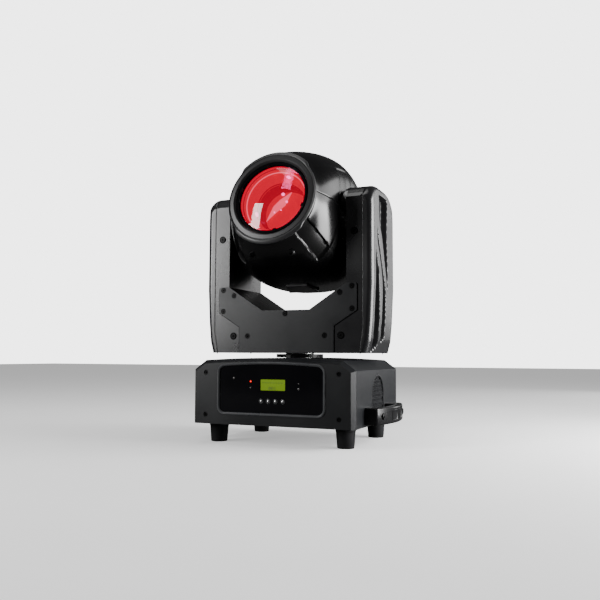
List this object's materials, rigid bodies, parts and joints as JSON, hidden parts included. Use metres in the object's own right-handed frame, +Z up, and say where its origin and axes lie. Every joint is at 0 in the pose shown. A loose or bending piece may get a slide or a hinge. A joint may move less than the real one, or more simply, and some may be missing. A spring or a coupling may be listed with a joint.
{
  "type": "moving head light",
  "caption": "Compact moving head stage light: base with carrying handles, display and keys, a forked yoke that pans, and a tilting head with a red-lit lens.",
  "frame": {"origin": "on the floor under the pan axis, at the middle of the base", "axes": "+Z up along the pan axis; -Y is the control panel and beam side; +X to the right seen from the front"},
  "size_m": [0.283, 0.2243, 0.3963],
  "materials": {
    "satin_black_paint": "satin",
    "gloss_black_plastic": "polished",
    "matte_grey_plastic": "fine grain",
    "rubber": "matte",
    "steel": "zinc plated",
    "aluminium": "brushed",
    "red_lit_lens": "deep red beam colour behind a clear lens",
    "clear_glass": "clear",
    "green_display": "backlit character display",
    "circuit_board": "solder mask",
    "belt_rubber": "toothed belt"
  },
  "bodies": {
    "base": {"base_housing": "satin_black_paint", "base_front_cover": "satin_black_paint", "base_rear_cover": "satin_black_paint", "base_bottom_plate": "steel", "vent_grille_left": "matte_grey_plastic", "vent_grille_right": "matte_grey_plastic", "power_inlet": "gloss_black_plastic", "signal_input_socket": "steel", "signal_output_socket": "steel", "foot_front_left": "rubber", "foot_front_right": "rubber", "foot_rear_left": "rubber", "foot_rear_right": "rubber", "handle_left": "gloss_black_plastic", "handle_right": "gloss_black_plastic", "control_panel": "gloss_black_plastic", "lcd_display": "green_display", "control_board": "circuit_board", "power_supply": "aluminium", "lamp_ballast": "aluminium", "pan_support_bracket": "steel", "pan_shaft": "steel", "pan_collar": "matte_grey_plastic"},
    "menu_key": {"button_menu": "steel"},
    "down_key": {"button_down": "steel"},
    "up_key": {"button_up": "steel"},
    "enter_key": {"button_enter": "steel"},
    "yoke": {"yoke_frame": "satin_black_paint", "yoke_front_plate": "satin_black_paint", "yoke_rear_plate": "satin_black_paint", "arm_cover_left": "satin_black_paint", "arm_cover_right": "satin_black_paint", "pan_bearing": "steel", "pan_motor": "steel", "tilt_motor": "steel", "pan_belt": "belt_rubber", "tilt_belt": "belt_rubber", "tilt_bearing_left": "steel", "tilt_bearing_right": "steel"},
    "pan_drive": {"pan_motor_pulley": "aluminium"},
    "tilt_drive": {"tilt_motor_pulley": "aluminium"},
    "head": {"head_upper_shell": "gloss_black_plastic", "head_lower_shell": "gloss_black_plastic", "head_bezel": "matte_grey_plastic", "lens_retaining_ring": "gloss_black_plastic", "front_lens": "red_lit_lens", "head_rear_cover": "matte_grey_plastic", "tilt_hub_left": "steel", "tilt_hub_right": "steel", "tilt_wheel": "aluminium", "head_chassis": "aluminium", "lamp_reflector": "steel", "discharge_lamp": "clear_glass", "colour_wheel_motor": "steel", "gobo_wheel_motor": "steel"},
    "colour_disc": {"colour_wheel": "clear_glass"},
    "gobo_disc": {"gobo_wheel": "aluminium"},
    "dimmer": {"dimmer_blade": "steel"},
    "focus_carriage": {"focus_lens": "clear_glass"},
    "cooling_fan": {"head_fan": "matte_grey_plastic"}
  },
  "joints": [
    {"name": "pan", "type": "hinge", "parent": "base", "child": "yoke", "pos_m": [0, 0, 0.12], "axis": [0, 0, 1], "range_deg": [-270, 270]},
    {"name": "tilt", "type": "hinge", "parent": "yoke", "child": "head", "pos_m": [0, 0, 0.299], "axis": [-1, 0, 0], "range_deg": [-56, 209]},
    {"name": "pan_pulley_spin", "type": "hinge", "parent": "yoke", "child": "pan_drive", "pos_m": [-0.07, 0, 0.1535], "axis": [0, 0, 1], "range_deg": [-1220, 1220]},
    {"name": "tilt_pulley_spin", "type": "hinge", "parent": "yoke", "child": "tilt_drive", "pos_m": [0.1022, 0, 0.15], "axis": [-1, 0, 0], "range_deg": [-215, 788.75]},
    {"name": "colour_wheel_spin", "type": "hinge", "parent": "head", "child": "colour_disc", "pos_m": [0, 0.02141, 0.26003], "axis": [0, -0.9732, 0.23], "continuous": true},
    {"name": "gobo_wheel_spin", "type": "hinge", "parent": "head", "child": "gobo_disc", "pos_m": [0, 0.02589, 0.32679], "axis": [0, -0.9732, 0.23], "continuous": true},
    {"name": "dimmer_swing", "type": "hinge", "parent": "head", "child": "dimmer", "pos_m": [-0.046, 0.03328, 0.29113], "axis": [0, 0.9732, -0.23], "range_deg": [0, 48]},
    {"name": "focus_slide", "type": "slide", "parent": "head", "child": "focus_carriage", "axis": [0, -0.9732, 0.23], "range_m": [-0.01, 0.024]},
    {"name": "head_fan_spin", "type": "hinge", "parent": "head", "child": "cooling_fan", "pos_m": [0, 0.08272, 0.27945], "axis": [0, -0.9732, 0.23], "continuous": true},
    {"name": "menu_press", "type": "slide", "parent": "base", "child": "menu_key", "axis": [0, 1, 0], "range_m": [0, 0.0006], "stiffness_N_per_m": 600, "springref_m": -0.0005},
    {"name": "down_press", "type": "slide", "parent": "base", "child": "down_key", "axis": [0, 1, 0], "range_m": [0, 0.0006], "stiffness_N_per_m": 600, "springref_m": -0.0005},
    {"name": "up_press", "type": "slide", "parent": "base", "child": "up_key", "axis": [0, 1, 0], "range_m": [0, 0.0006], "stiffness_N_per_m": 600, "springref_m": -0.0005},
    {"name": "enter_press", "type": "slide", "parent": "base", "child": "enter_key", "axis": [0, 1, 0], "range_m": [0, 0.0006], "stiffness_N_per_m": 600, "springref_m": -0.0005}
  ],
  "couplings": [
    {"joint": "pan_pulley_spin", "follows": "pan", "ratio": -4.5},
    {"joint": "tilt_pulley_spin", "follows": "tilt", "ratio": 3.75}
  ]
}
